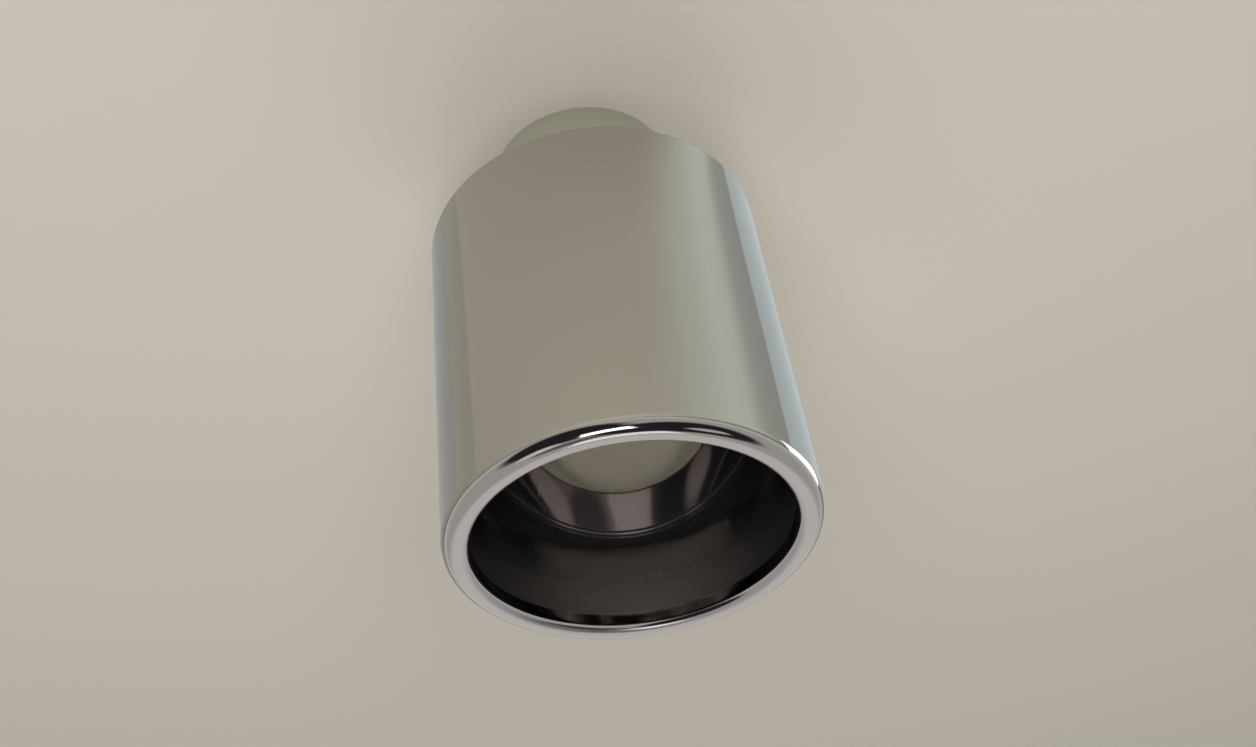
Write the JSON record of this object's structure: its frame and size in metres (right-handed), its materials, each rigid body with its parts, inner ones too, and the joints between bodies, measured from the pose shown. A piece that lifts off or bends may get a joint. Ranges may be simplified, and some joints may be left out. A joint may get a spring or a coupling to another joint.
{
  "type": "exhaust tip",
  "caption": "Round polished steel exhaust tip: a wide cylindrical shell with a rolled-in outlet lip, closed at the back round a smaller slip-on inlet neck.",
  "frame": {"origin": "centre of the inlet neck's mouth, at the bottom of the part as it stands", "axes": "+Z along the tip's axis, out of the outlet; X and Y across it"},
  "size_m": [0.1016, 0.1016, 0.1465],
  "materials": {
    "shell_steel": "mirror polished",
    "cap_steel": "satin, turned",
    "neck_steel": "polished",
    "weld_steel": "satin"
  },
  "bodies": {
    "root": {"outer_shell": "shell_steel", "rear_cap": "cap_steel", "inlet_neck": "neck_steel", "cap_weld": "weld_steel", "neck_weld": "weld_steel"}
  },
  "joints": []
}
